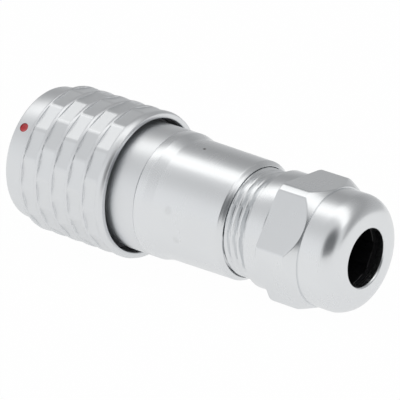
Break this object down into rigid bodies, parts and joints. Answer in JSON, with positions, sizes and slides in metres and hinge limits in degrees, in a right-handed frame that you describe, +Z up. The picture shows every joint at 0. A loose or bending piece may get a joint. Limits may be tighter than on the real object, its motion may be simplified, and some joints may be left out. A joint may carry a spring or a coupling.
{
  "type": "push-pull circular connector plug",
  "caption": "Cable plug with a keyed mating bore, a pull-back coupling sleeve with staggered brick-like flats, a tapered barrel, a threaded gland and a domed hexagon clamping nut.",
  "frame": {"origin": "on the plug's axis at its mating face", "axes": "+X along the axis toward the cable gland, +Z up, with a flat of the hexagon facing down"},
  "size_m": [0.0563, 0.0216, 0.0216],
  "materials": {
    "satin_plate": "satin",
    "spring_steel": "satin",
    "black_rubber": "satin",
    "black_plastic": "matte",
    "gold_contact": "polished",
    "red_enamel": "gloss"
  },
  "bodies": {
    "plug_body": {"nose_shell": "satin_plate", "alignment_dot": "red_enamel", "return_spring": "spring_steel", "sleeve_stop_ring": "spring_steel", "spring_stop_ring": "spring_steel", "mating_seal": "black_rubber", "contact_insert": "black_plastic", "contact_pins": "gold_contact", "rear_insulator": "black_plastic", "insert_retaining_ring": "satin_plate", "barrel_o_ring": "black_rubber", "barrel": "satin_plate", "gland_body": "satin_plate", "clamp_collet": "spring_steel", "cable_seal": "black_rubber"},
    "coupling_sleeve": {"coupling_sleeve": "satin_plate"},
    "locking_ball_1": {"locking_ball_1": "spring_steel"},
    "locking_ball_2": {"locking_ball_2": "spring_steel"},
    "locking_ball_3": {"locking_ball_3": "spring_steel"},
    "thrust_washer": {"thrust_washer": "black_plastic"},
    "clamping_nut": {"clamping_nut": "satin_plate"}
  },
  "joints": [
    {"name": "sleeve_slide", "type": "slide", "parent": "plug_body", "child": "coupling_sleeve", "axis": [1, 0, 0], "range_m": [0, 0.0025], "stiffness_N_per_m": 1500, "springref_m": -0.004, "deforming": ["return_spring"]},
    {"name": "ball_1_slide", "type": "slide", "parent": "plug_body", "child": "locking_ball_1", "axis": [0, -0.9205, -0.3907], "range_m": [0, 0.000351]},
    {"name": "ball_2_slide", "type": "slide", "parent": "plug_body", "child": "locking_ball_2", "axis": [0, 0.7986, -0.6018], "range_m": [0, 0.000351]},
    {"name": "ball_3_slide", "type": "slide", "parent": "plug_body", "child": "locking_ball_3", "axis": [0, 0.1219, 0.9925], "range_m": [0, 0.000351]},
    {"name": "nut_advance", "type": "slide", "parent": "plug_body", "child": "thrust_washer", "axis": [1, 0, 0], "range_m": [0, 0.003]},
    {"name": "nut_turn", "type": "hinge", "parent": "thrust_washer", "child": "clamping_nut", "pos_m": [0.05, 0, 0], "axis": [1, 0, 0], "range_deg": [0, 1080.1]}
  ],
  "couplings": [
    {"joint": "ball_1_slide", "follows": "sleeve_slide", "ratio": 0.14},
    {"joint": "ball_2_slide", "follows": "sleeve_slide", "ratio": 0.14},
    {"joint": "ball_3_slide", "follows": "sleeve_slide", "ratio": 0.14},
    {"joint": "nut_turn", "follows": "nut_advance", "rad_per_m": 6283.2}
  ]
}
